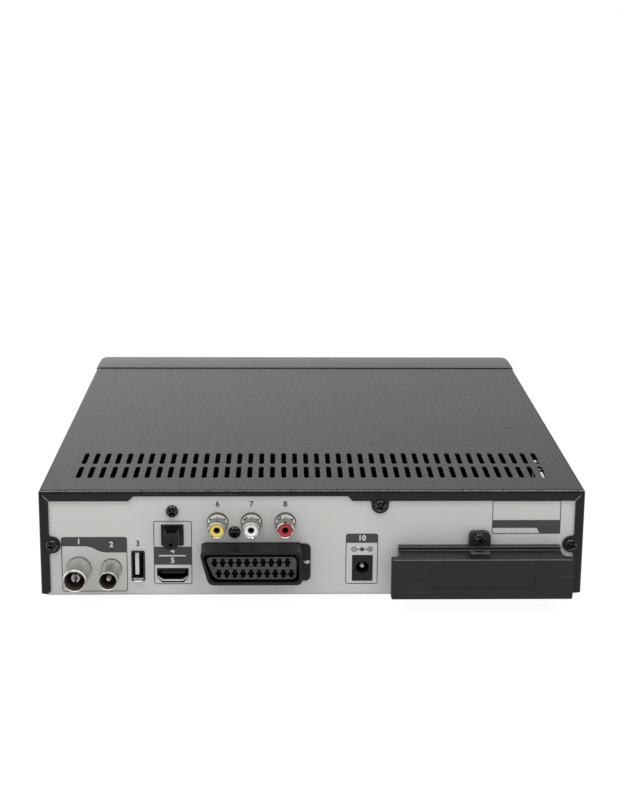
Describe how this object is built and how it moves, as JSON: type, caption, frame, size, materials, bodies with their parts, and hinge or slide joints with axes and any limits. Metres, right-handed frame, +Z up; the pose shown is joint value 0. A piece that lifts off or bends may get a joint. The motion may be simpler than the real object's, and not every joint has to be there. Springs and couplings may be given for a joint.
{
  "type": "tv decoder box",
  "caption": "Low steel decoder box with a vented black cover, moulded front, rear socket panel and a screwed drive bay cover.",
  "frame": {"origin": "under the middle of the box, at the bottom of the feet", "axes": "+Z up, the moulded front faces -Y, the socket panel faces +Y"},
  "size_m": [0.26, 0.2472, 0.057],
  "materials": {
    "panel_paint": "satin silver-grey paint",
    "cover_paint": "fine matt black powder coat",
    "foot_rubber": "matt",
    "black_screw": "black oxide",
    "front_moulding": "satin black moulding",
    "zinc_steel": "bright zinc",
    "smoked_window": "dark smoked gloss",
    "button_plastic": "satin silver",
    "board_green": "solder mask",
    "black_plastic": "matt",
    "white_plastic": "semi-gloss",
    "tinned_steel": "tinned",
    "nickel": "bright nickel",
    "dark_insulator": "matt",
    "contact_brass": "plated",
    "cap_plastic": "matt",
    "yellow_plastic": "semi-gloss",
    "red_plastic": "semi-gloss",
    "socket_plastic": "matt",
    "bay_plastic": "fine texture",
    "sink_aluminium": "bare",
    "sleeve_blue": "shrink sleeve",
    "coil_ferrite": "matt"
  },
  "bodies": {
    "chassis": {"chassis_pan": "panel_paint", "top_cover": "cover_paint", "feet": "foot_rubber", "cover_screws": "black_screw", "panel_screws": "black_screw", "front_panel": "front_moulding", "front_screws": "zinc_steel", "display_window": "smoked_window", "front_board": "board_green", "tact_switches": "black_plastic", "led_display": "black_plastic", "ir_receiver": "black_plastic", "ribbon_cable": "white_plastic", "main_board": "board_green", "board_standoffs": "zinc_steel", "board_screws": "zinc_steel", "tuner_can": "tinned_steel", "antenna_in_shell": "nickel", "antenna_in_insulator": "dark_insulator", "antenna_in_contact": "contact_brass", "antenna_out_shell": "nickel", "antenna_out_insulator": "dark_insulator", "antenna_out_pin": "contact_brass", "usb_shell": "tinned_steel", "usb_tongue": "white_plastic", "hdmi_shell": "tinned_steel", "hdmi_tongue": "black_plastic", "optical_housing": "black_plastic", "rca_block": "black_plastic", "rca_barrels": "nickel", "rca_yellow_insert": "yellow_plastic", "rca_white_insert": "white_plastic", "rca_red_insert": "red_plastic", "scart_housing": "socket_plastic", "scart_contacts": "contact_brass", "dc_housing": "black_plastic", "dc_pin": "nickel", "drive_cage": "zinc_steel", "drive_connector": "black_plastic", "heat_sink": "sink_aluminium", "processor": "black_plastic", "memory_chips": "black_plastic", "capacitors": "sleeve_blue", "coils": "coil_ferrite"},
    "bay_cover": {"bay_cover": "bay_plastic"},
    "bay_screw": {"bay_screw": "black_screw"},
    "dust_cap": {"optical_dust_cap": "cap_plastic"},
    "standby": {"standby_button": "button_plastic"},
    "channel_down": {"channel_down_button": "button_plastic"},
    "channel_up": {"channel_up_button": "button_plastic"}
  },
  "joints": [
    {"name": "bay_cover_pull", "type": "slide", "parent": "chassis", "child": "bay_cover", "axis": [0, 1, 0], "range_m": [0, 0.03]},
    {"name": "bay_screw_turn", "type": "hinge", "parent": "bay_cover", "child": "bay_screw", "pos_m": [-0.0798, 0.1124, 0.0335], "axis": [0, 1, 0], "continuous": true},
    {"name": "dust_cap_pull", "type": "slide", "parent": "chassis", "child": "dust_cap", "axis": [0, 1, 0], "range_m": [0, 0.02]},
    {"name": "standby_press", "type": "slide", "parent": "chassis", "child": "standby", "axis": [0, 1, 0], "range_m": [0, 0.0008], "stiffness_N_per_m": 900},
    {"name": "channel_down_press", "type": "slide", "parent": "chassis", "child": "channel_down", "axis": [0, 1, 0], "range_m": [0, 0.0008], "stiffness_N_per_m": 900},
    {"name": "channel_up_press", "type": "slide", "parent": "chassis", "child": "channel_up", "axis": [0, 1, 0], "range_m": [0, 0.0008], "stiffness_N_per_m": 900}
  ]
}
